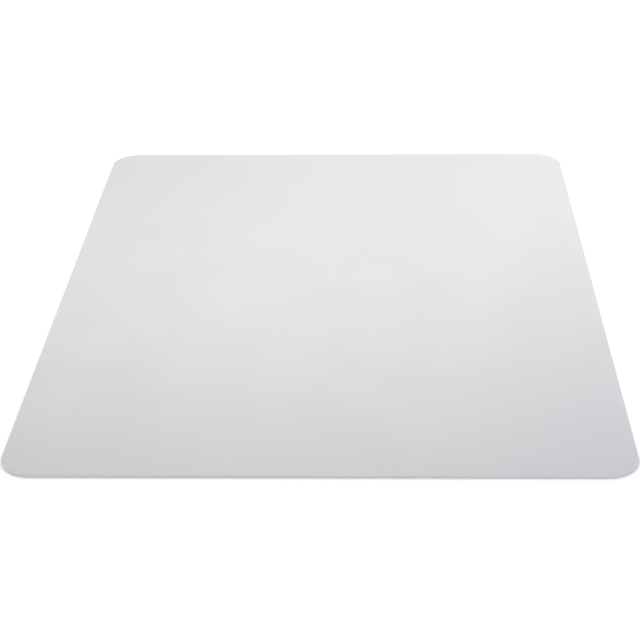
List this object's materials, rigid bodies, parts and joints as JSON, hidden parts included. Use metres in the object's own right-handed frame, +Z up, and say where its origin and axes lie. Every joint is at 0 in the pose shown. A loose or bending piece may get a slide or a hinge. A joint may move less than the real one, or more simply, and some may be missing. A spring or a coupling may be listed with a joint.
{
  "type": "chair mat",
  "caption": "Flat rectangular chair mat with rounded corners: a stiff satin sheet that castors roll on, bonded to a thin non-slip backing that lies on a hard floor.",
  "frame": {"origin": "centre of the mat's underside, on the floor", "axes": "+X across the shorter side, +Y along the longer side, away from the viewer, +Z up"},
  "size_m": [1.2192, 1.524, 0.0033],
  "materials": {
    "clear_sheet": "satin",
    "grip_film": "matte"
  },
  "bodies": {
    "root": {"wear_sheet": "clear_sheet", "grip_backing": "grip_film"}
  },
  "joints": []
}
